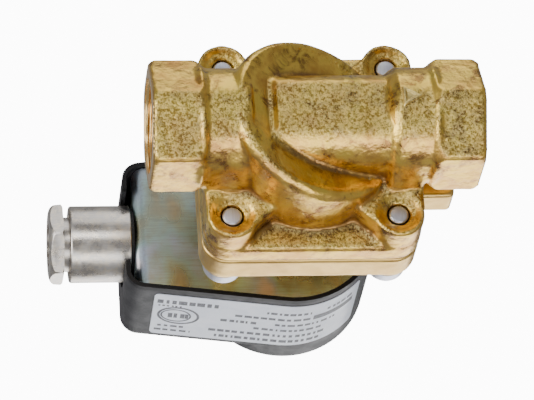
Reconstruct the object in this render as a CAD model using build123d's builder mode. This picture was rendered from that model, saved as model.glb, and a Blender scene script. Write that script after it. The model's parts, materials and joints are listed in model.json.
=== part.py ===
from build123d import *
import math
import os

# Two-port diaphragm solenoid valve, G3/4 ports, coil upwards.
# Origin: centre of the inlet port face. +X is the flow direction, +Z runs up the coil stem.
# All sizes are in millimetres.

# ------------------------------------------------------------------ driving dimensions
# pipe ports
face_to_face = 92.0
hex_flats = 32.0
hex_length = 14.0
outlet_hex_length = 13.1
hex_end_setback = 1.2
hex_trim = 17.7  # forging parting trim across the upper and lower hexagon corners
port_minor_radius = 12.06
passage_radius = 11.0
neck_radius = 15.9
shoulder_radius = 17.4  # conical shoulder where each neck meets its hexagon

# body casting
bowl_radius = 24.5
wall = 3.2
bowl_slope = 0.55  # rise of the bowl floor per millimetre along the flow
bowl_floor = -4.5  # floor height on the stem axis
dish_depth = 2.2  # shallow spherical dish under the bowl
dish_sphere = 143.0
dish_radius = 21.5
duct_radius = 13.8
duct_pad = 11.7
outlet_radius = 9.3
seat_bore = 8.8
seat_height = 19.3
flange_size = 61.4
flange_corner = 7.5
flange_low = 15.6
parting = 22.8
ear_low = 7.5
flange_bevel = 1.0
pocket_top = 11.0
bolt_offset = 23.2
boss_radius = 7.3

# bonnet
bonnet_top = 33.0
ear_top = 34.5
cavity_radius = 21.8
cavity_top = 28.8
stem_bore = 9.2
tube_ledge = 36.8
bonnet_neck_top = 42.0
side_boss_reach = 42.3
side_boss_half = 10.3

# screws
screw_radius = 2.75
screw_hole = 3.0
washer_thickness = 1.6
head_radius = 5.75
head_height = 4.6
screw_tip = 9.2

# diaphragm unit, resting on the seat
membrane = 1.45
membrane_radius = 26.5
plate_radius = 14.8
plate_thickness = 1.5
pilot_radius = 3.0
nozzle_top = 27.85
clip_radius = 8.4
clip_top = 31.6
clip_sheet = 0.6
clip_lip = 0.7

# armature and guide tube
armature_radius = 6.25
armature_low = 28.0
armature_top = 72.0
foot_radius = 7.4
foot_top = 29.7
tube_inner = 6.33
tube_outer = 7.0
tube_top = 97.4
core_low = 77.5
collar_seat = 59.0
collar_radius = 9.6
collar_flats = 24.0
stud_radius = 5.0
stud_top = 105.5

# coil unit
coil_radius = 25.55
coil_taper = 7.1  # degrees, each long side towards the gland end
coil_end = -48.8  # from the stem axis
coil_corner = 5.5
rim_height = 58.5
box_top = 91.0
coil_top = 97.6
coil_wall = 1.3
plate_low = 59.8
plate_sheet = 2.0
bobbin_bore = 7.08
bobbin_flange = 21.0

# cable gland
gland_height = 71.2
gland_radius = 11.25
gland_flats = 20.9
gland_thread = 8.6
gland_bore = 5.6
gland_spigot = 6.9
gland_entry = 6.4

# ------------------------------------------------------------------ derived values
stem_x = face_to_face / 2
hex_corner = hex_flats / 2 / math.cos(math.radians(30))
hex_small = hex_flats / 2 + 0.4
slope_angle = math.atan(bowl_slope)
bolt_signs = [(1, 1), (1, -1), (-1, 1), (-1, -1)]
bolt_points = [(sx * bolt_offset, sy * bolt_offset) for sx, sy in bolt_signs]
membrane_low = seat_height + 0.1
membrane_top = membrane_low + membrane
plate_top = membrane_top + 0.05 + plate_thickness
flange_x = -45.6  # outer face of the upturned end of the base plate, from the stem axis
locknut_x = flange_x + plate_sheet
gland_seat_x = flange_x - 1.0
gland_face_x = -64.3
nut_back_x = -66.1
nut_front_x = -70.2
thread_end_x = -58.5
socket_end_x = -50.0


def level(z):
    """Horizontal plane centred on the stem axis at height z."""
    return Plane((stem_x, 0, z))


def across(x, z=0.0):
    """Plane across the flow at distance x from the inlet face, local x along +Y."""
    return Plane(origin=(x, 0, z), x_dir=(0, 1, 0), z_dir=(1, 0, 0))


def gland_plane(x):
    """Plane across the gland axis, x measured from the stem axis."""
    return across(stem_x + x, gland_height)


def floor_plane(lift):
    """Sloping plane parallel to the bowl floor, raised by lift along the stem."""
    normal = (-math.sin(slope_angle), 0, math.cos(slope_angle))
    return Plane(origin=(stem_x, 0, bowl_floor + lift), x_dir=(0, 1, 0), z_dir=normal)


def coil_outline(inset):
    """Coil planform: round about the stem, two tapered sides, rounded gland end."""
    radius = coil_radius - inset
    taper = math.radians(coil_taper)
    end = coil_end + inset
    tangent_x = -radius * math.sin(taper)
    tangent_y = radius * math.cos(taper)
    end_y = (radius + end * math.sin(taper)) / math.cos(taper)
    with BuildSketch() as outline:
        with BuildLine():
            Line((end, -end_y), (tangent_x, -tangent_y))
            ThreePointArc((tangent_x, -tangent_y), (radius, 0), (tangent_x, tangent_y))
            Line((tangent_x, tangent_y), (end, end_y))
            Line((end, end_y), (end, -end_y))
        make_face()
        corners = outline.vertices().group_by(Axis.X)[0]
        fillet(corners, coil_corner - inset)
    return outline.sketch


# ------------------------------------------------------------------ valve body
with BuildPart() as port_ends:
    for start, length in ((0, hex_length), (face_to_face - outlet_hex_length, outlet_hex_length)):
        with BuildSketch(across(start)):
            RegularPolygon(hex_corner, 6, rotation=30)
        extrude(amount=length)
    with BuildSketch(Plane.XZ):
        with BuildLine():
            Polyline(
                (0, 0),
                (0, hex_small + 0.5),
                (hex_end_setback, hex_corner + 0.1),
                (hex_length - 1.1, hex_corner + 0.1),
                (hex_length, shoulder_radius),
                (face_to_face - outlet_hex_length, shoulder_radius),
                (face_to_face - outlet_hex_length + 1.1, hex_corner + 0.1),
                (face_to_face - hex_end_setback, hex_corner + 0.1),
                (face_to_face, hex_small + 0.5),
                (face_to_face, 0),
                close=True,
            )
        make_face()
    revolve(axis=Axis.X, mode=Mode.INTERSECT)
    with BuildSketch(Plane.XY.offset(-hex_trim)):
        with Locations((stem_x, 0)):
            Rectangle(face_to_face + 2, hex_flats + 10)
    extrude(amount=2 * hex_trim, mode=Mode.INTERSECT)

with BuildPart() as bowl:
    with BuildSketch(level(-25)):
        Circle(bowl_radius)
    extrude(amount=25 + flange_low + 1)
    split(bisect_by=floor_plane(0), keep=Keep.TOP)
    fillet(bowl.edges().filter_by(GeomType.ELLIPSE), 3.0)

with BuildPart(floor_plane(0)) as bowl_dish:
    with Locations((0, 0, dish_depth - dish_sphere)):
        Sphere(dish_sphere)
    with BuildSketch(level(-40)):
        Circle(dish_radius)
    extrude(amount=70, mode=Mode.INTERSECT)

with BuildPart() as flange:
    with BuildSketch(level(flange_low)):
        RectangleRounded(flange_size, flange_size, flange_corner)
    extrude(amount=parting - flange_low)
    chamfer(flange.faces().sort_by(Axis.Z)[0].edges(), flange_bevel)

with BuildPart() as chamber:
    with BuildSketch(level(-25)):
        Circle(bowl_radius - wall)
    extrude(amount=25 + parting)
    split(bisect_by=floor_plane(dish_depth + wall), keep=Keep.TOP)

with BuildPart() as valve_body:
    add(bowl.part)
    add(bowl_dish.part, mode=Mode.SUBTRACT)
    # outlet duct with a flat pad underneath
    with BuildSketch(across(stem_x - 12)):
        Circle(duct_radius)
        with Locations((0, 8)):
            Rectangle(2 * duct_radius, 16)
        with Locations((0, -duct_pad - 5)):
            Rectangle(2 * duct_radius, 10, mode=Mode.SUBTRACT)
    extrude(amount=33.5)
    # inlet neck with its shoulder
    with BuildSketch(Plane.XZ):
        with BuildLine():
            Polyline(
                (hex_length - 0.5, 0),
                (hex_length - 0.5, shoulder_radius),
                (hex_length, shoulder_radius),
                (hex_length + 1.6, neck_radius),
                (stem_x - 18.4, neck_radius),
                (stem_x - 18.4, 0),
                close=True,
            )
        make_face()
    revolve(axis=Axis.X)
    # outlet neck, stepping up from the pad of the duct
    with BuildSketch(Plane.XZ):
        with BuildLine():
            Polyline(
                (stem_x + 18.8, 0),
                (stem_x + 18.8, 12.0),
                (stem_x + 20.8, 15.1),
                (stem_x + 21.6, 15.3),
                (stem_x + 22.0, neck_radius),
                (stem_x + 31.2, neck_radius),
                (stem_x + 32.8, shoulder_radius),
                (stem_x + 33.0, shoulder_radius),
                (stem_x + 33.0, 0),
                close=True,
            )
        make_face()
    revolve(axis=Axis.X)
    add(port_ends.part)
    # upright flanks that carry the necks up to the flange
    for start, length in ((15.4, 12.2), (stem_x + 20.5, 10.1)):
        with BuildSketch(across(start)):
            with BuildLine():
                Polyline((-15.85, 0), (15.85, 0), (17.5, flange_low + 0.1), (-17.5, flange_low + 0.1), close=True)
            make_face()
        extrude(amount=length)
    add(flange.part)
    # corner ears: round bosses joined to the bowl by webs
    with BuildSketch(level(ear_low)):
        with Locations(*bolt_points):
            Circle(boss_radius)
        for sx, sy in bolt_signs:
            with BuildLine():
                Polyline(
                    (sx * 11.4, sy * 22.0),
                    (sx * 21.6, sy * 30.3),
                    (sx * 30.3, sy * 21.6),
                    (sx * 22.0, sy * 11.4),
                    close=True,
                )
            make_face()
        # towards the inlet the ears fill the corner up to the neck
        for sy in (1, -1):
            with Locations((-22.3, sy * 17.6)):
                Rectangle(16.4, 11.2)
    extrude(amount=flange_low - ear_low)
    # towards the outlet a pocket is left, closed by a thin wall
    with BuildSketch(level(ear_low)):
        with GridLocations(0, 32, 1, 2):
            with Locations((flange_size / 2 - 0.9, 0)):
                Rectangle(1.6, 12)
    extrude(amount=flange_low - ear_low)
    with BuildSketch(level(pocket_top)):
        with GridLocations(0, 37, 1, 2):
            with Locations((22.0, 0)):
                Rectangle(16.0, 9.0)
    extrude(amount=flange_low - pocket_top)
    # annular inlet chamber, then the duct and the seat pipe standing inside it
    add(chamber.part, mode=Mode.SUBTRACT)
    with BuildSketch(across(stem_x - 12)):
        Circle(duct_radius - 1.2)
        with Locations((0, -duct_pad - 5)):
            Rectangle(2 * duct_radius, 10, mode=Mode.SUBTRACT)
    extrude(amount=35)
    with BuildSketch(level(0)):
        Circle(seat_bore + 2.6)
    extrude(amount=seat_height, taper=0.5)
    # waterways
    with BuildSketch(across(0)):
        Circle(port_minor_radius)
    extrude(amount=hex_length, mode=Mode.SUBTRACT)
    with BuildSketch(across(hex_length - 0.5)):
        Circle(passage_radius)
    extrude(amount=stem_x - 16 - hex_length, mode=Mode.SUBTRACT)
    with BuildSketch(across(face_to_face - hex_length)):
        Circle(port_minor_radius)
    extrude(amount=hex_length, mode=Mode.SUBTRACT)
    with BuildSketch(across(stem_x - 8.8)):
        Circle(outlet_radius)
    extrude(amount=face_to_face - hex_length + 0.5 - stem_x + 8.8, mode=Mode.SUBTRACT)
    with BuildSketch(level(0)):
        Circle(seat_bore)
    extrude(amount=parting, mode=Mode.SUBTRACT)
    # recess for the diaphragm bead
    with BuildSketch(level(parting - membrane)):
        Circle(membrane_radius + 0.1)
        Circle(bowl_radius - wall, mode=Mode.SUBTRACT)
    extrude(amount=membrane, mode=Mode.SUBTRACT)
    # tapped holes with dished mouths
    with BuildSketch(level(ear_low)):
        with Locations(*bolt_points):
            Circle(screw_hole)
    extrude(amount=parting - ear_low, mode=Mode.SUBTRACT)
    with BuildSketch(level(ear_low)):
        with Locations(*bolt_points):
            Circle(boss_radius - 1.0)
    extrude(amount=1.7, taper=50, mode=Mode.SUBTRACT)

# ------------------------------------------------------------------ bonnet
with BuildPart() as bonnet:
    with BuildSketch(level(parting)):
        RectangleRounded(flange_size, flange_size, flange_corner)
    extrude(amount=bonnet_top - parting)
    chamfer(bonnet.faces().sort_by(Axis.Z)[-1].edges(), 0.8)
    with BuildSketch(level(bonnet_top - 0.5)):
        with Locations(*bolt_points):
            Circle(boss_radius - 0.3)
    extrude(amount=ear_top - bonnet_top + 0.5)
    # undrilled side boss facing the outlet
    with BuildSketch(level(parting + 0.5)):
        with Locations((side_boss_reach / 2, 0)):
            RectangleRounded(side_boss_reach, 2 * side_boss_half, 2.0)
    extrude(amount=bonnet_top - parting - 0.8)
    # dome and threaded neck
    with BuildSketch(Plane((stem_x, 0, 0), x_dir=(1, 0, 0), z_dir=(0, -1, 0))):
        with BuildLine():
            Polyline((0, bonnet_top - 1), (24.0, bonnet_top - 1), (23.2, 35.2))
            RadiusArc((23.2, 35.2), (16.0, 40.0), -9.0)
            Polyline((16.0, 40.0), (16.0, bonnet_neck_top), (0, bonnet_neck_top), (0, bonnet_top - 1))
        make_face()
    revolve(axis=Axis((stem_x, 0, 0), (0, 0, 1)))
    # diaphragm cavity, stem bore and collar thread
    with BuildSketch(level(parting)):
        Circle(cavity_radius)
    extrude(amount=cavity_top - parting, taper=8, mode=Mode.SUBTRACT)
    with BuildSketch(level(parting)):
        Circle(stem_bore)
    extrude(amount=bonnet_neck_top - parting, mode=Mode.SUBTRACT)
    with BuildSketch(level(tube_ledge)):
        Circle(11.0)
    extrude(amount=bonnet_neck_top - tube_ledge, mode=Mode.SUBTRACT)
    with BuildSketch(level(tube_ledge - 1.1)):
        Circle(10.8)
        Circle(9.5, mode=Mode.SUBTRACT)
    extrude(amount=1.1, mode=Mode.SUBTRACT)
    with BuildSketch(level(parting)):
        with Locations(*bolt_points):
            Circle(screw_hole + 0.2)
    extrude(amount=ear_top - parting, mode=Mode.SUBTRACT)

# ------------------------------------------------------------------ bonnet fasteners
with BuildPart() as spring_washers:
    with BuildSketch(level(ear_top)):
        with Locations(*bolt_points):
            Circle(5.4)
            Circle(screw_hole + 0.15, mode=Mode.SUBTRACT)
    extrude(amount=washer_thickness)

head_seat = ear_top + washer_thickness
with BuildPart() as bonnet_screws:
    with BuildSketch(level(screw_tip)):
        with Locations(*bolt_points):
            Circle(screw_radius)
    extrude(amount=head_seat - screw_tip)
    chamfer(bonnet_screws.edges().group_by(Axis.Z)[0], 0.5)
    with BuildSketch(level(head_seat)):
        with Locations(*bolt_points):
            Circle(head_radius)
    extrude(amount=head_height)
    fillet(bonnet_screws.edges().group_by(Axis.Z)[-1], 1.8)
    with BuildSketch(level(head_seat + head_height - 2.0)):
        with Locations(*bolt_points):
            Rectangle(5.2, 1.2)
            Rectangle(1.2, 5.2)
    extrude(amount=2.0, mode=Mode.SUBTRACT)

# ------------------------------------------------------------------ diaphragm unit
stem_side = Plane((stem_x, 0, 0), x_dir=(1, 0, 0), z_dir=(0, -1, 0))
stem_axis = Axis((stem_x, 0, 0), (0, 0, 1))

with BuildPart() as diaphragm:
    with BuildSketch(stem_side):
        with BuildLine():
            Polyline(
                (pilot_radius + 0.1, membrane_low),
                (15.5, membrane_low),
                (21.1, parting - membrane + 0.02),
                (membrane_radius, parting - membrane + 0.02),
                (membrane_radius, parting - 0.02),
                (20.9, parting - 0.02),
                (15.2, membrane_top),
                (pilot_radius + 0.1, membrane_top),
                close=True,
            )
        make_face()
    revolve(axis=stem_axis)

with BuildPart() as support_plate:
    with BuildSketch(level(membrane_top + 0.05)):
        Circle(plate_radius)
        Circle(pilot_radius + 0.1, mode=Mode.SUBTRACT)
    extrude(amount=plate_thickness)
    fillet(support_plate.edges().filter_by(GeomType.CIRCLE).group_by(SortBy.RADIUS)[-1], 0.5)

with BuildPart() as pilot_seat:
    with BuildSketch(level(membrane_low - 1.45)):
        Circle(6.4)
    extrude(amount=1.4)
    with BuildSketch(level(membrane_low - 0.1)):
        Circle(pilot_radius)
    extrude(amount=nozzle_top - 0.9 - membrane_low + 0.1)
    with BuildSketch(level(nozzle_top - 0.9)):
        Circle(1.8)
    extrude(amount=0.9, taper=15)
    with BuildSketch(level(membrane_low - 1.45)):
        Circle(0.8)
    extrude(amount=12, mode=Mode.SUBTRACT)

with BuildPart() as lift_clip:
    with BuildSketch(level(plate_top)):
        Circle(clip_radius)
    extrude(amount=clip_top - plate_top)
    with BuildSketch(level(plate_top + clip_sheet)):
        Circle(clip_radius - clip_sheet)
    extrude(amount=clip_top - clip_lip - plate_top - clip_sheet, mode=Mode.SUBTRACT)
    with BuildSketch(level(clip_top - clip_lip)):
        Circle(armature_radius + 0.45)
    extrude(amount=clip_lip, mode=Mode.SUBTRACT)
    with BuildSketch(level(plate_top)):
        Circle(pilot_radius + 0.1)
    extrude(amount=clip_sheet, mode=Mode.SUBTRACT)
    # side windows that let the pressure through and the armature foot in
    with BuildSketch(level(plate_top + 1.2)):
        Rectangle(2 * clip_radius + 2, 7.5)
    extrude(amount=clip_top - clip_lip - plate_top - 1.8, mode=Mode.SUBTRACT)

with BuildPart() as pilot_nut:
    with BuildSketch(level(plate_top + clip_sheet)):
        RegularPolygon(5.0, 6, major_radius=False)
        Circle(pilot_radius + 0.05, mode=Mode.SUBTRACT)
    extrude(amount=2.6)

# ------------------------------------------------------------------ armature unit
with BuildPart() as armature:
    with BuildSketch(level(armature_low)):
        Circle(foot_radius)
    extrude(amount=foot_top - armature_low)
    with BuildSketch(level(armature_low)):
        Circle(armature_radius)
    extrude(amount=armature_top - armature_low)
    chamfer(armature.edges().filter_by(GeomType.CIRCLE).group_by(Axis.Z)[-1], 0.4)
    with BuildSketch(level(armature_low)):
        Circle(2.5)
    extrude(amount=3.2, mode=Mode.SUBTRACT)
    with BuildSketch(level(58)):
        Circle(3.3)
    extrude(amount=armature_top - 58, mode=Mode.SUBTRACT)
    # two flats let fluid pass along the tube
    for side in (1, -1):
        with BuildSketch(level(34)):
            with Locations((0, side * (armature_radius + 0.4))):
                Rectangle(8, 2.2)
        extrude(amount=armature_top - 34, mode=Mode.SUBTRACT)

with BuildPart() as armature_seal:
    with BuildSketch(level(armature_low - 0.1)):
        Circle(2.45)
    extrude(amount=3.2)

spring_turns = 9
spring_low = 58.4
spring_top = core_low - 0.5
with BuildPart() as return_spring:
    with BuildLine():
        Helix((spring_top - spring_low) / spring_turns, spring_top - spring_low, 2.6, center=(stem_x, 0, spring_low))
    with BuildSketch(Plane((stem_x + 2.6, 0, spring_low), x_dir=(1, 0, 0), z_dir=(0, 1, 0))):
        Circle(0.35)
    sweep(is_frenet=True)

# ------------------------------------------------------------------ guide tube and core
with BuildPart() as core_tube:
    with BuildSketch(level(tube_ledge)):
        Circle(10.75)
    extrude(amount=1.5)
    with BuildSketch(level(tube_ledge)):
        Circle(tube_outer)
    extrude(amount=tube_top - tube_ledge)
    with BuildSketch(level(tube_ledge)):
        Circle(tube_inner)
    extrude(amount=tube_top - tube_ledge, mode=Mode.SUBTRACT)

with BuildPart() as tube_seal:
    with BuildSketch(stem_side):
        with Locations((10.15, tube_ledge - 0.55)):
            Circle(0.53)
    revolve(axis=stem_axis)

with BuildPart() as tube_collar:
    with BuildSketch(level(tube_ledge + 1.52)):
        Circle(10.95)
    extrude(amount=bonnet_neck_top - tube_ledge - 1.5)
    with BuildSketch(level(bonnet_neck_top + 0.02)):
        RegularPolygon(collar_flats / 2, 6, major_radius=False)
    extrude(amount=6)
    with BuildSketch(level(bonnet_neck_top + 6)):
        Circle(collar_radius)
    extrude(amount=collar_seat - bonnet_neck_top - 6)
    with BuildSketch(level(tube_ledge)):
        Circle(tube_outer + 0.04)
    extrude(amount=collar_seat - tube_ledge, mode=Mode.SUBTRACT)

with BuildPart() as fixed_core:
    with BuildSketch(level(core_low)):
        Circle(tube_inner - 0.02)
    extrude(amount=tube_top - core_low)
    with BuildSketch(level(core_low)):
        Circle(5.2)
        Circle(4.2, mode=Mode.SUBTRACT)
    extrude(amount=1.4, mode=Mode.SUBTRACT)
    with BuildSketch(level(tube_top)):
        Circle(stud_radius)
    extrude(amount=stud_top - tube_top)
    chamfer(fixed_core.edges().group_by(Axis.Z)[-1], 0.8)

with BuildPart() as shading_ring:
    with BuildSketch(level(core_low + 0.05)):
        Circle(5.15)
        Circle(4.25, mode=Mode.SUBTRACT)
    extrude(amount=1.3)

# ------------------------------------------------------------------ top fastening of the coil
top_seal_low = coil_top + 0.1
with BuildPart() as top_seal:
    with BuildSketch(level(top_seal_low)):
        Circle(9.4)
        Circle(tube_outer + 0.6, mode=Mode.SUBTRACT)
    extrude(amount=0.8)

with BuildPart() as coil_washer:
    with BuildSketch(level(top_seal_low + 0.85)):
        Circle(10.0)
        Circle(stud_radius + 0.25, mode=Mode.SUBTRACT)
    extrude(amount=1.2)

nut_low = top_seal_low + 2.1
with BuildPart() as coil_nut:
    with BuildSketch(level(nut_low)):
        RegularPolygon(8.5, 6, major_radius=False)
    extrude(amount=5.0)
    with BuildSketch(stem_side):
        with BuildLine():
            Polyline(
                (0, nut_low),
                (9.0, nut_low),
                (9.9, nut_low + 0.6),
                (9.9, nut_low + 4.2),
                (8.5, nut_low + 5.0),
                (0, nut_low + 5.0),
                close=True,
            )
        make_face()
    revolve(axis=stem_axis, mode=Mode.INTERSECT)
    with BuildSketch(level(nut_low)):
        Circle(stud_radius + 0.05)
    extrude(amount=5.0, mode=Mode.SUBTRACT)

# ------------------------------------------------------------------ coil unit
with BuildPart() as coil_housing:
    with BuildSketch(level(rim_height)):
        add(coil_outline(0))
    extrude(amount=box_top - rim_height)
    fillet(coil_housing.faces().sort_by(Axis.Z)[-1].edges(), 2.2)
    with BuildSketch(level(rim_height)):
        Circle(coil_radius)
    extrude(amount=coil_top - rim_height)
    fillet(coil_housing.faces().sort_by(Axis.Z)[-1].edges(), 2.8)
    with BuildSketch(level(rim_height)):
        add(coil_outline(coil_wall))
    extrude(amount=box_top - coil_wall - rim_height, mode=Mode.SUBTRACT)
    with BuildSketch(level(rim_height)):
        Circle(coil_radius - coil_wall)
    extrude(amount=coil_top - coil_wall - rim_height, mode=Mode.SUBTRACT)
    with BuildSketch(level(coil_top - 5)):
        Circle(tube_outer + 0.5)
    extrude(amount=6, mode=Mode.SUBTRACT)
    # notch that clears the gland body, open towards the rim
    with BuildSketch(gland_plane(coil_end - 1)):
        Circle(gland_radius + 1.35)
        with Locations((0, -10)):
            Rectangle(25.2, 20, mode=Mode.SUBTRACT)
        with Locations((0, -(gland_height - rim_height) / 2)):
            Rectangle(2 * gland_radius + 0.8, gland_height - rim_height)
    extrude(amount=coil_wall + 2, mode=Mode.SUBTRACT)

bend_radius = 3.6
plate_side = Plane((stem_x, 0, plate_low), x_dir=(1, 0, 0), z_dir=(0, -1, 0))
with BuildPart() as base_plate:
    with BuildSketch(plate_side):
        with BuildLine() as plate_profile:
            FilletPolyline(
                (coil_radius, plate_sheet / 2),
                (flange_x + plate_sheet / 2, plate_sheet / 2),
                (flange_x + plate_sheet / 2, 27),
                radius=bend_radius - plate_sheet / 2,
            )
            offset(amount=plate_sheet / 2, side=Side.BOTH)
        make_face()
    extrude(amount=coil_radius, both=True)
    with BuildSketch(level(plate_low)):
        add(coil_outline(coil_wall + 0.15))
    extrude(amount=30, mode=Mode.INTERSECT)
    with BuildSketch(level(plate_low)):
        Circle(bobbin_bore)
    extrude(amount=plate_sheet, mode=Mode.SUBTRACT)
    with BuildSketch(gland_plane(flange_x - 0.5)):
        Circle(gland_spigot + 0.15)
        with Locations((14.2, 9.5)):
            Circle(1.6)
    extrude(amount=plate_sheet + 1, mode=Mode.SUBTRACT)

with BuildPart() as lower_seal:
    with BuildSketch(level(collar_seat + 0.06)):
        Circle(9.4)
        Circle(tube_outer + 0.4, mode=Mode.SUBTRACT)
    extrude(amount=plate_low - collar_seat - 0.06)

bobbin_low = plate_low + plate_sheet
bobbin_top = coil_top - coil_wall - 0.1
flange_sheet = 1.4
with BuildPart() as coil_bobbin:
    with BuildSketch(level(bobbin_low)):
        Circle(bobbin_bore + 1.5)
    extrude(amount=bobbin_top - bobbin_low)
    for z in (bobbin_low, bobbin_top - flange_sheet):
        with BuildSketch(level(z)):
            Circle(bobbin_flange)
        extrude(amount=flange_sheet)
    with BuildSketch(level(bobbin_low)):
        Circle(bobbin_bore)
    extrude(amount=bobbin_top - bobbin_low, mode=Mode.SUBTRACT)

with BuildPart() as coil_winding:
    with BuildSketch(level(bobbin_low + flange_sheet)):
        Circle(19.6)
        Circle(bobbin_bore + 1.52, mode=Mode.SUBTRACT)
    extrude(amount=bobbin_top - bobbin_low - 2 * flange_sheet)

terminal_x = -29.6
terminal_y = 5.2
terminal_top = 80.0
with BuildPart() as terminal_block:
    with BuildSketch(level(bobbin_low)):
        with Locations((terminal_x, 0)):
            RectangleRounded(11.0, 21.0, 1.0)
    extrude(amount=terminal_top - bobbin_low)
    # raised barrier between the two poles
    with BuildSketch(level(terminal_top)):
        with Locations((terminal_x, 0)):
            Rectangle(11.0, 1.6)
    extrude(amount=3.0)
    with BuildSketch(level(terminal_top - 7)):
        with Locations((terminal_x, terminal_y), (terminal_x, -terminal_y)):
            Circle(1.75)
    extrude(amount=7, mode=Mode.SUBTRACT)

with BuildPart() as terminal_screws:
    with BuildSketch(level(terminal_top - 6.5)):
        with Locations((terminal_x, terminal_y), (terminal_x, -terminal_y)):
            Circle(1.7)
    extrude(amount=6.5)
    with BuildSketch(level(terminal_top)):
        with Locations((terminal_x, terminal_y), (terminal_x, -terminal_y)):
            Circle(3.1)
    extrude(amount=2.2)
    with BuildSketch(level(terminal_top + 1.2)):
        with Locations((terminal_x, terminal_y), (terminal_x, -terminal_y)):
            Rectangle(6.4, 0.8)
    extrude(amount=1.0, mode=Mode.SUBTRACT)

lead_radius = 0.7
with BuildPart() as coil_leads:
    for side in (1, -1):
        with BuildLine():
            FilletPolyline(
                (stem_x - 19.0, side * terminal_y, 86.0),
                (stem_x + terminal_x, side * terminal_y, 86.0),
                (stem_x + terminal_x, side * terminal_y, terminal_top + 2.2),
                radius=2.5,
            )
        with BuildSketch(across(stem_x - 19.0, 86.0)):
            with Locations((side * terminal_y, 0)):
                Circle(lead_radius)
        sweep()
    # the leads end on the surface of the winding
    with BuildSketch(level(80)):
        Circle(19.65)
    extrude(amount=10, mode=Mode.SUBTRACT)

with BuildPart() as earth_screw:
    with BuildSketch(gland_plane(locknut_x)):
        with Locations((14.2, 9.5)):
            Circle(2.6)
    extrude(amount=2.0)
    with BuildSketch(gland_plane(flange_x - 1.0)):
        with Locations((14.2, 9.5)):
            Circle(1.55)
    extrude(amount=plate_sheet + 1.0)
    with BuildSketch(gland_plane(locknut_x + 1.1)):
        with Locations((14.2, 9.5)):
            Rectangle(6.0, 0.7)
    extrude(amount=1.0, mode=Mode.SUBTRACT)

# thin curved rating plate wrapped round the side of the coil
label_low = 62.0
label_high = 87.5
with BuildPart() as rating_label:
    with BuildSketch(level(label_low)):
        add(coil_outline(-0.25))
        add(coil_outline(-0.02), mode=Mode.SUBTRACT)
        with BuildLine():
            Polyline((-40.5, 10), (0, 3), (30, 24), (30, 40), (-40.5, 40), close=True)
        make_face(mode=Mode.INTERSECT)
    extrude(amount=label_high - label_low)

# ------------------------------------------------------------------ cable gland
with BuildPart() as gland_body:
    with BuildSketch(gland_plane(gland_face_x)):
        Circle(gland_radius)
    extrude(amount=gland_seat_x - gland_face_x)
    chamfer(gland_body.edges().sort_by(Axis.X)[0], 0.4)
    with BuildSketch(gland_plane(gland_seat_x)):
        Circle(gland_spigot)
    extrude(amount=locknut_x + 5.0 - gland_seat_x)
    with BuildSketch(gland_plane(gland_face_x)):
        Circle(gland_thread + 0.07)
    extrude(amount=socket_end_x - gland_face_x, mode=Mode.SUBTRACT)
    with BuildSketch(gland_plane(socket_end_x)):
        Circle(gland_bore)
    extrude(amount=locknut_x + 5.0 - socket_end_x, mode=Mode.SUBTRACT)

with BuildPart() as gland_gasket:
    with BuildSketch(gland_plane(gland_seat_x)):
        Circle(10.2)
        Circle(gland_spigot + 0.15, mode=Mode.SUBTRACT)
    extrude(amount=flange_x - gland_seat_x)

with BuildPart() as gland_locknut:
    with BuildSketch(gland_plane(locknut_x + 0.1)):
        Circle(8.3)
        Circle(gland_spigot + 0.05, mode=Mode.SUBTRACT)
        with PolarLocations(8.3, 4, start_angle=45):
            Rectangle(1.2, 2.0, mode=Mode.SUBTRACT)
    extrude(amount=2.8)

with BuildPart() as gland_seal:
    with BuildSketch(gland_plane(socket_end_x - 5.8)):
        Circle(8.3)
        Circle(4.6, mode=Mode.SUBTRACT)
    extrude(amount=5.8)

with BuildPart() as gland_washer:
    with BuildSketch(gland_plane(thread_end_x)):
        Circle(8.4)
        Circle(5.4, mode=Mode.SUBTRACT)
    extrude(amount=1.0)

with BuildPart() as gland_nut:
    with BuildSketch(gland_plane(nut_front_x)):
        RegularPolygon(gland_flats / 2, 6, major_radius=False, rotation=40)
    extrude(amount=nut_back_x - nut_front_x)
    with BuildSketch(Plane((stem_x, 0, gland_height), x_dir=(1, 0, 0), z_dir=(0, -1, 0))):
        with BuildLine():
            Polyline((nut_back_x, 0), (nut_front_x, 0), (nut_front_x, 9.4))
            RadiusArc((nut_front_x, 9.4), (nut_front_x + 1.5, 11.8), 3.5)
            Polyline(
                (nut_front_x + 1.5, 11.8),
                (nut_back_x - 0.5, 12.1),
                (nut_back_x, 11.3),
                (nut_back_x, 0),
            )
        make_face()
    revolve(axis=Axis((stem_x, 0, gland_height), (1, 0, 0)), mode=Mode.INTERSECT)
    with BuildSketch(gland_plane(nut_back_x)):
        Circle(gland_thread - 0.6)
    extrude(amount=2.2)
    with BuildSketch(gland_plane(nut_back_x + 2.2)):
        Circle(gland_thread)
    extrude(amount=thread_end_x - 0.05 - nut_back_x - 2.2)
    with BuildSketch(gland_plane(nut_front_x)):
        Circle(gland_entry)
    extrude(amount=thread_end_x - nut_front_x, mode=Mode.SUBTRACT)

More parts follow.
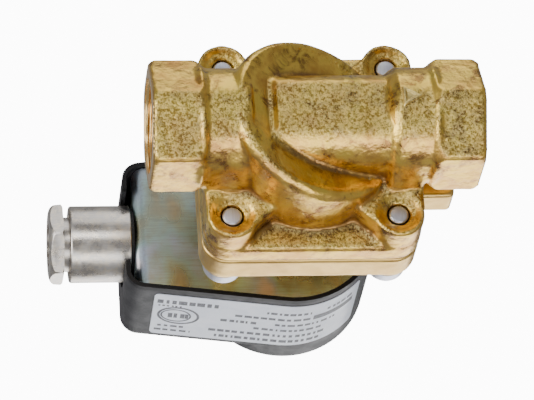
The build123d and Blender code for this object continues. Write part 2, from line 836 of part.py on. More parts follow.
# ------------------------------------------------------------------ export
finished = {
    "valve_body": valve_body,
    "bonnet": bonnet,
    "bonnet_screws": bonnet_screws,
    "spring_washers": spring_washers,
    "diaphragm": diaphragm,
    "support_plate": support_plate,
    "pilot_seat": pilot_seat,
    "pilot_nut": pilot_nut,
    "lift_clip": lift_clip,
    "armature": armature,
    "armature_seal": armature_seal,
    "return_spring": return_spring,
    "core_tube": core_tube,
    "tube_seal": tube_seal,
    "tube_collar": tube_collar,
    "fixed_core": fixed_core,
    "shading_ring": shading_ring,
    "top_seal": top_seal,
    "coil_washer": coil_washer,
    "coil_nut": coil_nut,
    "coil_housing": coil_housing,
    "base_plate": base_plate,
    "lower_seal": lower_seal,
    "coil_bobbin": coil_bobbin,
    "coil_winding": coil_winding,
    "terminal_block": terminal_block,
    "terminal_screws": terminal_screws,
    "coil_leads": coil_leads,
    "earth_screw": earth_screw,
    "rating_label": rating_label,
    "gland_body": gland_body,
    "gland_gasket": gland_gasket,
    "gland_locknut": gland_locknut,
    "gland_seal": gland_seal,
    "gland_washer": gland_washer,
    "gland_nut": gland_nut,
}

os.makedirs("parts", exist_ok=True)
for name, piece in finished.items():
    piece.part.label = name
    export_step(piece.part, f"parts/{name}.step")
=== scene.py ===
import json
import math

import bmesh
import bpy
import numpy as np
from mathutils import Matrix, Vector
from mathutils.bvhtree import BVHTree


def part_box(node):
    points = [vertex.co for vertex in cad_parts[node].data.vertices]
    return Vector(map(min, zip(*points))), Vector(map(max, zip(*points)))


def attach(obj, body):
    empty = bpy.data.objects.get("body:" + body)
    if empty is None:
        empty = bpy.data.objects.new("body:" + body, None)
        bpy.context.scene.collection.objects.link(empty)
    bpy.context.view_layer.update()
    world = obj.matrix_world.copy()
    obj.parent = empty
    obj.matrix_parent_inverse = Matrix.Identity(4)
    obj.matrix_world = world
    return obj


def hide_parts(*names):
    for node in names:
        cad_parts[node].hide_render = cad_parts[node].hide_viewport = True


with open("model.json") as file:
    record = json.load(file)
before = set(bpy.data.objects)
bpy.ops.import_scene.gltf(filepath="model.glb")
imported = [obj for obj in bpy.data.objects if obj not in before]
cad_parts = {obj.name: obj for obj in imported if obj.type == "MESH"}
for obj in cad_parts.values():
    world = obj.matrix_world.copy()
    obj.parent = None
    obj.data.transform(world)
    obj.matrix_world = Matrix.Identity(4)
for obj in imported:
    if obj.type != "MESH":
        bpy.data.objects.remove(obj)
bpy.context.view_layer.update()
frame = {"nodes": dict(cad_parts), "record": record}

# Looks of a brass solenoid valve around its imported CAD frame. Metres, row frame: origin at the
# centre of the inlet face, +X along the flow, +Z up the coil stem.

MM = 0.001
record = frame["record"]
node_slot = {part["node"]: part["material_slot"] for part in record["subparts"]}
node_body = {node: body for body, nodes in record["behaviour"]["bodies"].items() for node in nodes}

body_low, body_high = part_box("valve_body")
bonnet_low, bonnet_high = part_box("bonnet")
housing_low, housing_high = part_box("coil_housing")
label_low, label_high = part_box("rating_label")
ports = {mount["name"]: mount for mount in record["mounts"]}
port_radius = ports["inlet_port"]["dims"]["r_mm"] * MM
port_depth = ports["inlet_port"]["dims"]["length_mm"] * MM
thread_pitch = 1.814 * MM
thread_major = port_radius + 1.16 * MM
flow_end = body_high.x
stem_x = flow_end / 2
coil_radius = housing_high.x - stem_x
neck_radius = 15.9 * MM
# faces of the brass body turned this way, below, partly towards +Y and close to the camera's direction, get
# a sandy, grainy finish and painted dark speckle standing in for the reflection of the dark camera side
grain_facing = np.array((-0.12, 0.28, -0.95))


# ---------------------------------------------------------------- materials
class Shader:
    """Small helper that builds one procedural material around a Principled node."""

    def __init__(self, name, roughness=0.4, metallic=0.0, **sockets):
        self.material = bpy.data.materials.new(name)
        self.material.use_nodes = True
        self.tree = self.material.node_tree
        self.surface = self.tree.nodes["Principled BSDF"]
        self.surface.inputs["Metallic"].default_value = metallic
        self.surface.inputs["Roughness"].default_value = roughness
        for socket, value in sockets.items():
            self.surface.inputs[socket.replace("_", " ")].default_value = value
        self.place = self.node("ShaderNodeTexCoord").outputs["Object"]

    def node(self, kind, **settings):
        made = self.tree.nodes.new(kind)
        for key, value in settings.items():
            setattr(made, key, value)
        return made

    def feed(self, socket, value):
        if isinstance(value, bpy.types.NodeSocket):
            self.tree.links.new(value, socket)
        elif isinstance(value, (tuple, list)) and len(value) == 3 and socket.type == "RGBA":
            socket.default_value = (*value, 1.0)
        else:
            socket.default_value = value

    def stretch(self, scale):
        mapping = self.node("ShaderNodeMapping")
        self.feed(mapping.inputs["Vector"], self.place)
        mapping.inputs["Scale"].default_value = scale
        return mapping.outputs["Vector"]

    def noise(self, size_mm, detail=3.0, roughness=0.55, distortion=0.0, place=None, shift=0.0):
        made = self.node("ShaderNodeTexNoise", noise_dimensions="4D")
        self.feed(made.inputs["Vector"], place or self.place)
        made.inputs["W"].default_value = shift
        made.inputs["Scale"].default_value = 1000.0 / size_mm
        made.inputs["Detail"].default_value = detail
        made.inputs["Roughness"].default_value = roughness
        made.inputs["Distortion"].default_value = distortion
        return made.outputs["Fac"]

    def cells(self, size_mm, place=None):
        made = self.node("ShaderNodeTexVoronoi", feature="F1")
        self.feed(made.inputs["Vector"], place or self.place)
        made.inputs["Scale"].default_value = 1000.0 / size_mm
        return made.outputs["Distance"]

    def attribute(self, name):
        return self.node("ShaderNodeAttribute", attribute_name=name).outputs["Fac"]

    def axis(self, which):
        split = self.node("ShaderNodeSeparateXYZ")
        self.feed(split.inputs[0], self.place)
        return split.outputs[which]

    def math(self, operation, a, b=0.0):
        made = self.node("ShaderNodeMath", operation=operation)
        self.feed(made.inputs[0], a)
        self.feed(made.inputs[1], b)
        return made.outputs[0]

    def band(self, value, low, high, out_low=0.0, out_high=1.0):
        made = self.node("ShaderNodeMapRange", interpolation_type="SMOOTHSTEP")
        self.feed(made.inputs["Value"], value)
        made.inputs["From Min"].default_value = low
        made.inputs["From Max"].default_value = high
        made.inputs["To Min"].default_value = out_low
        made.inputs["To Max"].default_value = out_high
        return made.outputs["Result"]

    def mix(self, share, a, b, blend="MIX"):
        made = self.node("ShaderNodeMix", data_type="RGBA", blend_type=blend)
        self.feed(made.inputs["Factor"], share)
        self.feed(made.inputs["A"], a)
        self.feed(made.inputs["B"], b)
        return made.outputs["Result"]

    def ramp(self, value, stops):
        made = self.node("ShaderNodeValToRGB")
        self.feed(made.inputs["Fac"], value)
        points = made.color_ramp.elements
        while len(points) < len(stops):
            points.new(0.5)
        for point, (place, colour) in zip(points, stops):
            point.position = place
            point.color = (*colour, 1.0)
        return made.outputs["Color"]

    def colour(self, value):
        self.feed(self.surface.inputs["Base Color"], value)

    def roughness(self, value):
        self.feed(self.surface.inputs["Roughness"], value)

    def bump(self, height, distance_mm, strength=1.0):
        made = self.node("ShaderNodeBump")
        self.feed(made.inputs["Height"], height)
        made.inputs["Distance"].default_value = distance_mm * MM
        made.inputs["Strength"].default_value = strength
        previous = self.surface.inputs["Normal"]
        if previous.is_linked:
            self.feed(made.inputs["Normal"], previous.links[0].from_socket)
        self.feed(previous, made.outputs["Normal"])


def forged_brass():
    """Hot-forged, tumbled brass: olive gold, browned patches, a painted pinkish reflection on faces turned
    to +Y, painted shade in hollows, rubbed edges with a painted highlight, and a sandy, grainy finish with
    painted dark speckle for the reflection of the camera's side.
    """
    look = Shader("forged_brass", metallic=1.0)
    grain, machined = look.attribute("grain"), look.attribute("machined")
    edge, cavity, blush = look.attribute("edge"), look.attribute("cavity"), look.attribute("blush")
    broad = look.noise(9.0, 3.0, 0.6)
    patches = look.noise(5.0, 4.0, 0.65, 0.6, shift=3.1)
    fine = look.noise(0.75, 3.0, 0.75, shift=7.7)
    tones = [(0.34, (0.56, 0.30, 0.065)), (0.5, (0.88, 0.58, 0.11)), (0.66, (0.80, 0.57, 0.10))]
    colour = look.ramp(broad, tones)
    # painted reflection: faces turned to +Y are tinted pinkish tan in patches, standing in for the
    # surroundings they reflect
    blushed = look.math("MULTIPLY", blush, look.band(patches, 0.34, 0.66, 0.1, 0.8))
    colour = look.mix(blushed, colour, (0.62, 0.35, 0.12))
    stain = look.math("MULTIPLY", look.band(patches, 0.47, 0.64), look.band(broad, 0.36, 0.56))
    colour = look.mix(look.math("MULTIPLY", stain, 0.8), colour, (0.20, 0.09, 0.035))
    # painted shade: hollows darkened to brown
    hollow = look.math("MULTIPLY", cavity, look.band(patches, 0.15, 0.55, 0.55, 1.0))
    colour = look.mix(hollow, colour, (0.27, 0.145, 0.05))
    # painted dark reflection: on the sandy, grainy faces turned to the camera's side, dark and light flecks
    # stand in for the dark surroundings they reflect
    speckle = look.band(fine, 0.40, 0.58)
    dark = look.mix(0.82, colour, (0.06, 0.035, 0.01))
    speckled = look.mix(speckle, dark, look.mix(0.4, colour, (1.0, 0.86, 0.36)))
    colour = look.mix(look.math("MULTIPLY", grain, 0.8), colour, speckled)
    # convex edges made bright: partly rubbed brass, partly a painted highlight
    rubbed = look.band(look.noise(1.6, 3.0, 0.7, shift=1.2), 0.25, 0.55, 0.35, 1.0)
    worn_and_highlit = look.math("MULTIPLY", edge, rubbed)
    colour = look.mix(worn_and_highlit, colour, (1.0, 0.86, 0.40))
    colour = look.mix(machined, colour, (0.84, 0.58, 0.25))
    look.colour(colour)
    rough = look.mix(grain, (0.33, 0.33, 0.33), (0.42, 0.42, 0.42))
    rough = look.mix(look.band(patches, 0.35, 0.65), rough, (0.27, 0.27, 0.27))
    look.roughness(look.mix(machined, rough, (0.24, 0.24, 0.24)))
    raw = look.math("SUBTRACT", 1.0, machined)
    look.bump(look.math("MULTIPLY", look.noise(2.6, 3.0, 0.6, shift=4.4), raw), 0.34)
    look.bump(look.math("MULTIPLY", look.math("MULTIPLY", fine, grain), raw), 0.3)
    lathe = look.noise(0.5, 2.0, 0.5, place=look.stretch((1.0, 0.05, 0.05)))
    look.bump(look.math("MULTIPLY", lathe, machined), 0.02)
    return look.material


def bonnet_brass():
    """Paler, satin forging with soft brown stains and small pits."""
    look = Shader("bonnet_brass", metallic=1.0)
    broad = look.noise(12.0, 3.0, 0.6, shift=2.0)
    patches = look.noise(4.0, 4.0, 0.6, 0.5, shift=5.0)
    tones = [(0.3, (0.60, 0.38, 0.12)), (0.5, (0.72, 0.48, 0.15)), (0.72, (0.66, 0.43, 0.13))]
    colour = look.ramp(broad, tones)
    stain = look.math("MULTIPLY", look.band(patches, 0.56, 0.72), 0.45)
    colour = look.mix(stain, colour, (0.45, 0.23, 0.09))
    # painted shade: hollows darkened to brown
    colour = look.mix(look.math("MULTIPLY", look.attribute("cavity"), 0.8), colour, (0.52, 0.28, 0.09))
    # convex edges made bright: partly rubbed brass, partly a painted highlight
    colour = look.mix(look.math("MULTIPLY", look.attribute("edge"), 0.7), colour, (1.0, 0.84, 0.50))
    pits = look.band(look.cells(3.2), 0.05, 0.10)
    colour = look.mix(look.band(pits, 0.0, 1.0, 0.35, 0.0), colour, (0.35, 0.20, 0.08))
    look.colour(colour)
    look.roughness(look.band(patches, 0.3, 0.7, 0.42, 0.30))
    look.bump(look.noise(1.1, 3.0, 0.6, shift=9.0), 0.045)
    look.bump(look.noise(3.0, 2.0, 0.5, shift=8.0), 0.09)
    return look.material


def plated(name, tones, roughness, scratch=0.012, size=1.0, along=(1.0, 0.08, 1.0), tint=None, metallic=1.0):
    """Plated or turned metal: cloudy tones, fine drawn scratches and a slightly uneven gloss."""
    look = Shader(name, metallic=metallic)
    cloud = look.noise(6.0 * size, 4.0, 0.6, 0.4)
    colour = look.ramp(cloud, [(0.30, tones[0]), (0.50, tones[1]), (0.70, tones[2])])
    hair = look.noise(0.35 * size, 2.0, 0.6, place=look.stretch(along), shift=2.5)
    colour = look.mix(look.band(hair, 0.35, 0.65, 0.22, 0.0), colour, (0.25, 0.24, 0.23))
    if tint:
        bloom = look.noise(2.2 * size, 3.0, 0.6, 0.8, shift=6.0)
        colour = look.mix(look.band(bloom, 0.42, 0.62, 0.0, 0.6), colour, tint)
    look.colour(colour)
    look.roughness(look.band(cloud, 0.3, 0.7, roughness * 0.8, roughness * 1.25))
    look.bump(hair, scratch)
    look.bump(look.noise(0.9 * size, 3.0, 0.6, shift=3.5), scratch * 2.0)
    return look.material


def coated_housing():
    """Satin dark grey enamel with orange peel, rubbed lighter in places, and with painted shade that turns
    it black at the rim.
    """
    look = Shader("housing_black", roughness=0.42, Specular_IOR_Level=0.28)
    height = look.axis("Z")
    # painted shade: the enamel turns black towards the open rim, where the wall is in shadow
    rim = look.band(height, housing_low.z + 1.3 * MM, housing_low.z + 2.6 * MM)
    dust = look.noise(7.0, 4.0, 0.65, 0.4)
    tones = [(0.3, (0.022, 0.022, 0.025)), (0.5, (0.028, 0.028, 0.031)), (0.72, (0.038, 0.038, 0.042))]
    grey = look.ramp(dust, tones)
    fleck = look.band(look.noise(0.5, 2.0, 0.6, shift=4.0), 0.60, 0.75, 0.0, 0.35)
    grey = look.mix(fleck, grey, (0.11, 0.11, 0.115))
    look.colour(look.mix(rim, (0.004, 0.004, 0.005), grey))
    look.roughness(look.band(dust, 0.3, 0.7, 0.55, 0.42))
    look.bump(look.noise(0.9, 2.0, 0.5, shift=2.0), 0.035)
    look.bump(look.noise(0.25, 2.0, 0.5, shift=3.0), 0.006)
    return look.material


def passivated_zinc():
    """Bright zinc sheet with the faint green, blue and straw interference of its passivation."""
    look = Shader("passivated_steel", metallic=1.0)
    film = look.noise(11.0, 2.0, 0.45, 0.3, place=look.stretch((1.0, 0.6, 1.0)))
    colour = look.ramp(
        film,
        [
            (0.30, (0.66, 0.58, 0.38)),
            (0.40, (0.58, 0.66, 0.52)),
            (0.50, (0.54, 0.72, 0.70)),
            (0.60, (0.60, 0.68, 0.80)),
            (0.72, (0.80, 0.66, 0.64)),
        ],
    )
    rolled = look.noise(0.30, 3.0, 0.65, place=look.stretch((0.04, 1.0, 1.0)), shift=1.5)
    colour = look.mix(look.band(rolled, 0.35, 0.65, 0.30, 0.0), colour, (0.30, 0.31, 0.29))
    blotch = look.noise(6.0, 4.0, 0.7, shift=7.0)
    colour = look.mix(look.band(blotch, 0.46, 0.80, 0.0, 0.5), colour, (0.40, 0.33, 0.22))
    look.colour(colour)
    look.roughness(look.band(film, 0.3, 0.7, 0.26, 0.36))
    look.bump(rolled, 0.012)
    look.bump(look.noise(1.2, 3.0, 0.6, shift=9.0), 0.02)
    return look.material


def rubber(name, tone=(0.022, 0.022, 0.023)):
    """Moulded black rubber with a light bloom of dust."""
    look = Shader(name, roughness=0.6, Specular_IOR_Level=0.35)
    dust = look.noise(2.0, 4.0, 0.65)
    look.colour(look.mix(look.band(dust, 0.4, 0.75, 0.0, 0.5), tone, tuple(v * 2.4 for v in tone)))
    look.roughness(look.band(dust, 0.3, 0.7, 0.72, 0.55))
    look.bump(look.noise(0.3, 3.0, 0.6), 0.012)
    return look.material


def moulded(name, tone):
    """Moulded plastic with faint flow marks."""
    look = Shader(name, roughness=0.45)
    flow = look.noise(8.0, 3.0, 0.6, 0.8)
    look.colour(look.mix(look.band(flow, 0.35, 0.7, 0.0, 0.5), tone, tuple(min(1.0, v * 1.5) for v in tone)))
    look.roughness(look.band(flow, 0.3, 0.7, 0.5, 0.38))
    look.bump(look.noise(0.18, 2.0, 0.5), 0.008)
    return look.material


def wound_wire():
    """Enamelled copper wire in level turns, with painted shade between the turns."""
    look = Shader("winding", roughness=0.3, metallic=0.7, Coat_Weight=0.4)
    wire_width = 0.4 * MM
    turns = look.math("SINE", look.math("MULTIPLY", look.axis("Z"), 2 * math.pi / wire_width))
    tone = look.band(look.noise(3.0, 3.0, 0.6), 0.3, 0.7)
    colour = look.mix(tone, (0.42, 0.13, 0.035), (0.58, 0.22, 0.07))
    # painted shade in the grooves between the turns
    look.colour(look.mix(look.band(turns, -1.0, -0.4, 0.6, 0.0), colour, (0.05, 0.015, 0.008)))
    look.bump(turns, 0.05)
    return look.material


def label_foil():
    """Pale bluish printed foil, slightly rubbed."""
    look = Shader("label", roughness=0.34, Specular_IOR_Level=0.5)
    haze = look.noise(5.0, 4.0, 0.6, 0.3)
    tones = [(0.3, (0.66, 0.70, 0.80)), (0.5, (0.73, 0.77, 0.86)), (0.75, (0.78, 0.81, 0.88))]
    colour = look.ramp(haze, tones)
    dirt = look.band(look.noise(0.5, 3.0, 0.7, shift=4.0), 0.62, 0.78, 0.0, 0.35)
    look.colour(look.mix(dirt, colour, (0.45, 0.47, 0.53)))
    look.roughness(look.band(haze, 0.3, 0.7, 0.42, 0.30))
    look.bump(look.noise(1.5, 2.0, 0.5, shift=2.0), 0.012)
    return look.material


def label_ink():
    """Dark blue-grey print, worn in places."""
    look = Shader("label_ink", roughness=0.45)
    wear = look.band(look.noise(0.7, 3.0, 0.7), 0.45, 0.70, 0.0, 0.55)
    look.colour(look.mix(wear, (0.045, 0.05, 0.065), (0.26, 0.28, 0.33)))
    look.bump(look.noise(0.4, 2.0, 0.5), 0.004)
    return look.material


GOLD = ((0.74, 0.54, 0.24), (0.82, 0.63, 0.30), (0.78, 0.60, 0.26))
ZINC = ((0.60, 0.61, 0.66), (0.70, 0.71, 0.77), (0.76, 0.77, 0.82))
STEEL = ((0.50, 0.50, 0.50), (0.60, 0.60, 0.60), (0.68, 0.68, 0.67))
NICKEL = ((0.44, 0.41, 0.38), (0.56, 0.53, 0.495), (0.66, 0.63, 0.60))
COPPER = ((0.70, 0.36, 0.22), (0.80, 0.44, 0.29), (0.84, 0.50, 0.33))
ROUND = (0.08, 0.08, 1.0)
materials = {
    "forged_brass": forged_brass(),
    "bonnet_brass": bonnet_brass(),
    "zinc_steel": plated("zinc_steel", ZINC, 0.38, tint=(0.62, 0.60, 0.72)),
    "diaphragm_rubber": rubber("diaphragm_rubber"),
    "turned_brass": plated("turned_brass", GOLD, 0.24, along=ROUND),
    "stainless": plated("stainless", STEEL, 0.24, along=ROUND),
    "magnetic_steel": plated("magnetic_steel", STEEL, 0.30, along=ROUND),
    "seal_rubber": rubber("seal_rubber", (0.014, 0.014, 0.015)),
    "copper": plated("copper", COPPER, 0.3),
    "housing_black": coated_housing(),
    "passivated_steel": passivated_zinc(),
    "bobbin_plastic": moulded("bobbin_plastic", (0.035, 0.035, 0.038)),
    "winding": wound_wire(),
    "terminal_metal": plated("terminal_metal", STEEL, 0.28),
    "label": label_foil(),
    "nickel_brass": plated(
        "nickel_brass", NICKEL, 0.30, size=0.8, along=(0.05, 1.0, 1.0), tint=(0.70, 0.62, 0.50)
    ),
}


# ---------------------------------------------------------------- mesh helpers
FLAT = math.radians(0.4)  # faces that meet at less than this become one
SHARP = math.radians(32)  # edges sharper than this are rounded
CREASE = math.radians(14)  # edges sharper than this are shaded as edges


def welded(node):
    """The node's CAD mesh as one closed bmesh, its split vertices joined."""
    form = bmesh.new()
    form.from_mesh(frame["nodes"][node].data)
    bmesh.ops.remove_doubles(form, verts=form.verts, dist=2e-6)
    return form


def settled(form, name):
    """The bmesh as a new mesh, without the imported corner normals that no longer fit it."""
    mesh = bpy.data.meshes.new(name)
    form.to_mesh(mesh)
    form.free()
    imported = mesh.attributes.get("custom_normal")
    if imported:
        mesh.attributes.remove(imported)
    return mesh


def remeshed(mesh, voxel_mm):
    """The same closed form with an even mesh of small quads."""
    holder = bpy.data.objects.new(mesh.name, mesh)
    bpy.context.scene.collection.objects.link(holder)
    modifier = holder.modifiers.new("even", "REMESH")
    modifier.mode = "VOXEL"
    modifier.voxel_size = voxel_mm * MM
    graph = bpy.context.evaluated_depsgraph_get()
    result = bpy.data.meshes.new_from_object(holder.evaluated_get(graph))
    bpy.data.objects.remove(holder)
    return result


def add_piece(name, mesh, nodes, *looks):
    """Adds a finished mesh that stands for CAD nodes of one body."""
    mesh.name = name
    for place, look in enumerate(looks or (materials[node_slot[nodes[0]]],)):
        if place < len(mesh.materials):
            mesh.materials[place] = look
        else:
            mesh.materials.append(look)
    piece = bpy.data.objects.new(name, mesh)
    bpy.context.scene.collection.objects.link(piece)
    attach(piece, node_body[nodes[0]])
    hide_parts(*nodes)
    return piece


def detail(name, node, width_mm=0.2, segments=2):
    """A CAD node with its sharp edges softly rounded, smooth shaded with its creases kept, in the material
    of its slot.
    """
    form = welded(node)
    bmesh.ops.dissolve_limit(form, angle_limit=FLAT, verts=form.verts, edges=form.edges)
    sharp = [e for e in form.edges if e.is_manifold and e.calc_face_angle() > SHARP]
    bmesh.ops.bevel(
        form,
        geom=sharp,
        offset=width_mm * MM,
        offset_type="OFFSET",
        segments=segments,
        profile=0.5,
        affect="EDGES",
        clamp_overlap=True,
    )
    mesh = settled(form, name)
    mesh.shade_smooth()
    mesh.set_sharp_from_angle(angle=CREASE)
    return add_piece(name, mesh, [node])


def neighbour_mean(values, edges, count):
    """Mean of each vertex's neighbours, for an array with one row per vertex."""
    total = np.zeros_like(values)
    for k in range(values.shape[1]):
        total[:, k] = np.bincount(edges[:, 0], values[edges[:, 1], k], len(values))
        total[:, k] += np.bincount(edges[:, 1], values[edges[:, 0], k], len(values))
    return total / count[:, None]


def mesh_values(items, key, width, kind=float):
    """One value of every item of a mesh, as an array with a row per item."""
    data = np.empty(len(items) * width, np.float32 if kind is float else np.int32)
    items.foreach_get(key, data)
    return data.reshape(-1, width).astype(kind)


def smooth_step(value, low, high):
    """0 below low, 1 above high, and a smooth rise between them."""
    share = np.clip((value - low) / (high - low), 0, 1)
    return share * share * (3 - 2 * share)


def cast(node, voxel_mm, relax):
    """A forged version of a CAD node: evenly meshed, its faces kept true and its edges rounded.
    Returns points, quads, normals, and how convex and how hollow the surface is at each point."""
    form = welded(node)
    tree = BVHTree.FromBMesh(form)
    source = settled(form, node + "_source")
    mesh = remeshed(source, voxel_mm)
    points = mesh_values(mesh.vertices, "co", 3)
    edges = mesh_values(mesh.edges, "vertices", 2, int)
    count = np.bincount(edges.ravel(), minlength=len(points)).astype(float)
    for _ in range(relax):
        points += 0.5 * (neighbour_mean(points, edges, count) - points)

    def normals_of(places):
        mesh.vertices.foreach_set("co", places.ravel().astype(np.float32))
        mesh.update()
        return mesh_values(mesh.vertices, "normal", 3)

    normals = normals_of(points)
    nearest, facing = points.copy(), normals.copy()
    for i, place in enumerate(points):
        found, normal, _, _ = tree.find_nearest(place, 3 * MM)
        if found is not None:
            nearest[i], facing[i] = found, normal
    agree = smooth_step((normals * facing).sum(1), 0.90, 0.985)
    points += (nearest - points) * agree[:, None]
    for _ in range(3):
        move = 0.5 * (neighbour_mean(points, edges, count) - points)
        points += move * (1 - 0.85 * agree)[:, None]
    normals = normals_of(points)
    pull = ((neighbour_mean(points, edges, count) - points) * normals).sum(1)[:, None]
    for _ in range(2):
        pull = 0.5 * pull + 0.5 * neighbour_mean(pull, edges, count)
    convex = -pull[:, 0] / (voxel_mm * MM) ** 2
    blurred = points.copy()
    for _ in range(60):
        blurred = neighbour_mean(blurred, edges, count)
    hollow = ((blurred - points) * normals).sum(1) / MM
    quads = mesh_values(mesh.loops, "vertex_index", 4, int)
    return points, quads, normals, convex, hollow


def swell(points, size_mm, seed):
    """Smooth value from 0 to 1 that wanders over a distance of about size_mm."""
    random = np.random.default_rng(seed)
    total, waves = np.zeros(len(points)), 9
    for _ in range(waves):
        direction = random.normal(size=3)
        direction *= 2 * math.pi / (size_mm * MM) / np.linalg.norm(direction)
        total += np.sin(points @ direction + random.uniform(0, 6.28))
    return np.clip(0.5 + total / waves, 0, 1)


def solid_mesh(name, parts, **attributes):
    """One mesh from several (points, faces) parts, with point attributes."""
    points, faces, start = [], [], 0
    for part_points, part_faces in parts:
        points.append(part_points)
        faces += [[start + i for i in face] for face in part_faces]
        start += len(part_points)
    mesh = bpy.data.meshes.new(name)
    mesh.from_pydata(np.vstack(points).tolist(), [], faces)
    mesh.validate()
    for key, values in attributes.items():
        layer = mesh.attributes.new(key, "FLOAT", "POINT")
        layer.data.foreach_set("value", np.clip(np.concatenate(values), 0, 1).astype(np.float32))
    mesh.shade_smooth()
    return mesh


# ---------------------------------------------------------------- valve body
def thread_sleeve(face_x, inward):
    """Female thread of a port as a thin closed helical sleeve, run out at both ends."""
    around, length, wall, lead = 108, port_depth - 1.0 * MM, 0.5 * MM, 0.35 * MM
    steps = int(length / thread_pitch * 12)
    points = []

    def depth_at(i):
        return lead + (length - lead) * i / steps

    for i in range(steps + 1):
        depth = depth_at(i)
        fade = smooth_step(depth, 0.5 * MM, 2.0 * MM) * (1 - smooth_step(depth, length - 1.8 * MM, length))
        for k in range(around):
            turn = 2 * math.pi * k / around
            phase = (depth / thread_pitch - inward * turn / (2 * math.pi)) % 1.0
            crest = 0.5 + 0.62 * math.cos(2 * math.pi * phase)
            crest = min(1.0, max(0.0, crest))
            radius = thread_major - (thread_major - port_radius) * crest * float(fade)
            points.append((face_x + inward * depth, radius * math.cos(turn), radius * math.sin(turn)))
    radius = thread_major + wall
    for i in (steps, 0):
        x = face_x + inward * depth_at(i)
        for k in range(around):
            turn = 2 * math.pi * k / around
            points.append((x, radius * math.cos(turn), radius * math.sin(turn)))
    rows, faces = steps + 3, []
    for i in range(rows):
        for k in range(around):
            a, b = i * around + k, i * around + (k + 1) % around
            c, d = ((i + 1) % rows) * around + (k + 1) % around, ((i + 1) % rows) * around + k
            faces.append((a, d, c, b) if inward > 0 else (a, b, c, d))
    return np.array(points), faces


def flow_arrow(radius):
    """Raised outline of an arrow head on the underside of the outlet neck, pointing downstream."""
    corners = [(stem_x + 22.9 * MM, -12.5), (stem_x + 28.8 * MM, -0.8), (stem_x + 22.9 * MM, 11.0)]
    rows, sink = 30, 0.06
    points, faces, index = [], [], {}
    for i in range(rows + 1):
        for j in range(rows + 1 - i):
            shares = (i / rows, j / rows, 1 - (i + j) / rows)
            x = sum(share * corner[0] for share, corner in zip(shares, corners))
            angle = math.radians(sum(share * corner[1] for share, corner in zip(shares, corners)))
            inside = min(shares) * 5.2
            height = 0.62 * float(smooth_step(inside, 0.0, 0.30))
            height -= 0.50 * float(smooth_step(inside, 0.60, 1.0))
            reach = radius + (height - sink) * MM
            index[i, j] = len(points)
            points.append((x, reach * math.sin(angle), -reach * math.cos(angle)))
    for i in range(rows):
        for j in range(rows - i):
            faces.append((index[i, j], index[i + 1, j], index[i, j + 1]))
            if j < rows - i - 1:
                faces.append((index[i + 1, j], index[i + 1, j + 1], index[i, j + 1]))
    return np.array(points), faces


def make_body():
    """Forging with tapped ports, and with the masks its brass colour is built from: a sandy, grainy finish
    carrying a painted dark reflection, rubbed edges carrying a painted highlight, painted shade in the
    hollows and a painted pinkish reflection on faces turned to +Y.
    """
    points, quads, normals, convex, hollow = cast("valve_body", 0.66, 5)
    spread = np.hypot(points[:, 1], points[:, 2])
    end = np.minimum(points[:, 0], flow_end - points[:, 0])
    # the tapped mouths are opened to the thread's major diameter
    wall = (np.abs(spread - port_radius) < 0.9 * MM) & (end < port_depth - 0.3 * MM)
    wall &= np.abs(normals[:, 0]) < 0.8
    rim = (spread > port_radius - 0.9 * MM) & (spread < thread_major) & (end < 0.9 * MM)
    opened = wall | rim
    grow = (thread_major + 0.05 * MM) / np.maximum(spread, 1e-9)
    points[opened, 1:] *= grow[opened, None]
    inward = -(normals[:, 1] * points[:, 1] + normals[:, 2] * points[:, 2]) / np.maximum(spread, 1e-9)
    bore = (spread < thread_major + 0.6 * MM) & (end < 32 * MM) & ((inward > 0.3) | (end < 15 * MM))
    faced = (end < 0.35 * MM) | (points[:, 2] > body_high.z - 0.4 * MM)
    machined = np.where(bore | faced, 1.0, 0.0)
    raw = 1 - machined
    points -= normals * ((0.11 * swell(points, 9, 3) + 0.05 * swell(points, 3.2, 4)) * MM * raw)[:, None]
    points = np.clip(points, np.array(body_low), np.array(body_high))
    down = normals @ grain_facing
    ridge = smooth_step(convex, 90, 260)
    # sandy, grainy faces turned to the camera's side; in the colour this mask also paints a dark reflection
    grain = smooth_step(down, 0.84, 0.95) * raw
    # convex edges, which get rubbed brass colour and a painted highlight
    edge = smooth_step(convex, 180, 480) * raw
    # hollows, which get painted shade
    cavity = smooth_step(hollow, 0.30, 1.2) * raw
    # faces turned to +Y, which get a painted pinkish reflection
    blush = smooth_step(normals[:, 1], 0.35, 0.85) * raw
    grain = np.maximum(grain, 0.7 * ridge * smooth_step(down, 0.3, 0.7) * raw)
    parts, extra = [(points, quads.tolist())], []
    for face_x, inward in ((0.0, 1), (flow_end, -1)):
        parts.append(thread_sleeve(face_x, inward))
        extra.append((len(parts[-1][0]), {"machined": 1.0}))
    parts.append(flow_arrow(neck_radius))
    # the raised arrow gets some bright edge colour with its painted highlight and some sandy speckle with
    # its painted dark reflection
    extra.append((len(parts[-1][0]), {"edge": 0.4, "grain": 0.5}))

    def joined(values, pick):
        return [values] + [np.full(many, marks.get(pick, 0.0)) for many, marks in extra]

    mesh = solid_mesh(
        "forged_body",
        parts,
        grain=joined(grain, "grain"),
        machined=joined(machined, "machined"),
        edge=joined(edge, "edge"),
        cavity=joined(cavity, "cavity"),
        blush=joined(blush, "blush"),
    )
    add_piece("forged_body", mesh, ["valve_body"])


